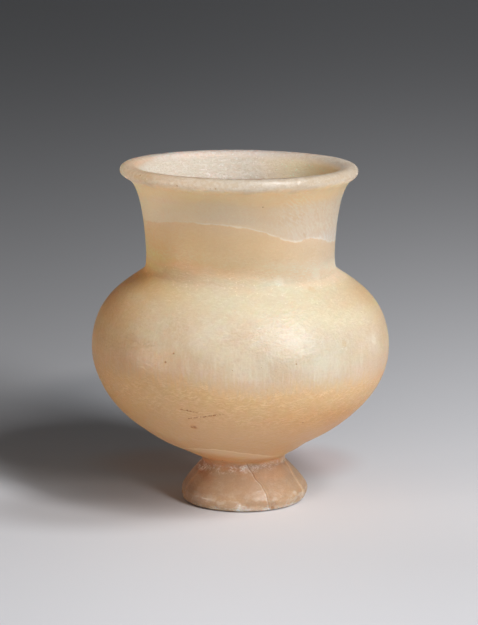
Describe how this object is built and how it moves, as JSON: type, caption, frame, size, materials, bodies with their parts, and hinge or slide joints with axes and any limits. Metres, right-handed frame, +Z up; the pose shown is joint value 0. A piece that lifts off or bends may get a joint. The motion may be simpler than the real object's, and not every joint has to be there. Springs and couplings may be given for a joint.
{
  "type": "wide-necked cosmetic jar",
  "caption": "Carved stone jar with a wide flaring neck, a rounded lip, a broad belly and a small spreading foot, hollowed to hold ointment, cosmetics or other small contents.",
  "frame": {"origin": "on the ground, below the middle of the belly; the flat underside of the foot is at Z = 0", "axes": "+Z up along the jar's axis; +X to the right and -Y towards the viewer in the main view"},
  "size_m": [0.0964, 0.0964, 0.1103],
  "materials": {
    "travertine": "honey and cream banded translucent stone, smoothed by hand to a soft, worn polish"
  },
  "bodies": {
    "root": {"jar": "travertine"}
  },
  "joints": []
}
